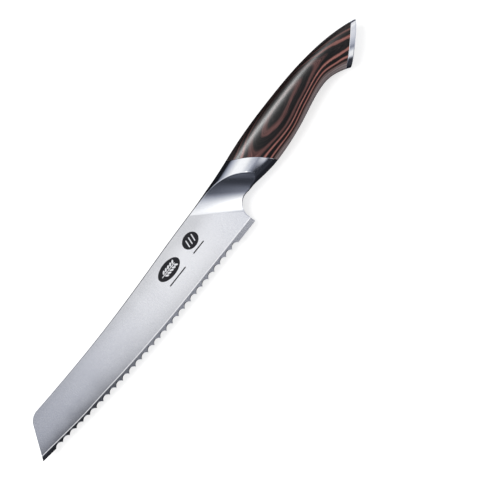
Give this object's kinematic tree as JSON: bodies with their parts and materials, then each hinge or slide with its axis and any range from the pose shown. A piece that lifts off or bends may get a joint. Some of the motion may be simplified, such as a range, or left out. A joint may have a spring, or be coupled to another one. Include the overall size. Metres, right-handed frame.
{
  "type": "bread knife",
  "caption": "Serrated bread knife with a slanted tip, a hollow-ground steel bolster, a curved laminated-wood grip and a slanted steel butt cap.",
  "frame": {"origin": "centre of the footprint at the lowest point, with the knife lying on its right side and its blade level", "axes": "+X from the tip to the butt, +Y from the edge to the spine, +Z out of the left face, the one with the bevel and the marks"},
  "size_m": [0.343, 0.0408, 0.0212],
  "materials": {
    "blade_steel": "satin, fine vertical grind",
    "polished_steel": "mirror polished stainless steel",
    "core_steel": "as rolled",
    "laminated_wood": "resin-laminated, black and red-brown layers, semi-gloss",
    "resin": "cured epoxy"
  },
  "bodies": {
    "root": {"blade": "blade_steel", "bolster": "polished_steel", "tang": "core_steel", "left_scale": "laminated_wood", "right_scale": "laminated_wood", "front_dowel": "core_steel", "rear_dowel": "core_steel", "resin_bed": "resin", "butt_cap": "polished_steel", "cap_pin": "core_steel"}
  },
  "joints": []
}
